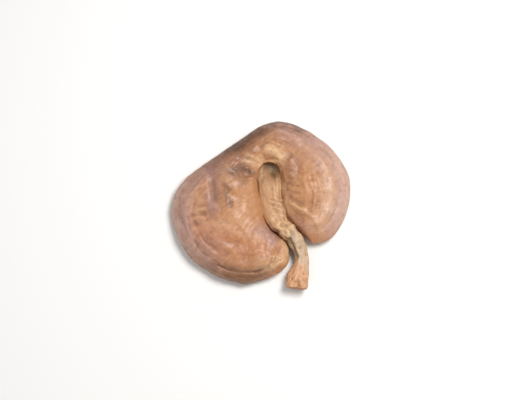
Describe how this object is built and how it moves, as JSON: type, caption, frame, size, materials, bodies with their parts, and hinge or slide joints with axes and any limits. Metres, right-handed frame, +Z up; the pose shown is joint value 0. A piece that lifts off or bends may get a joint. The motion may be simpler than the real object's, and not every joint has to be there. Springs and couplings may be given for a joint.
{
  "type": "reishi mushroom",
  "caption": "Dried reishi: a broad kidney-shaped bracket lying on its pore face, with a lumpy side stem running out of the notch to a flat cut.",
  "frame": {"origin": "middle of the whole body, on the surface that the pore face rests on", "axes": "+Z up out of the crust, -Y the way the notch opens and the stem runs, -X towards the large lobe, +X towards the small lobe"},
  "size_m": [0.173, 0.1658, 0.0312],
  "materials": {
    "varnished_crust": "satin varnish, dusted with spores",
    "corky_stem": "dull, lumpy and furrowed along its length"
  },
  "bodies": {
    "root": {"cap": "varnished_crust", "stem": "corky_stem"}
  },
  "joints": []
}
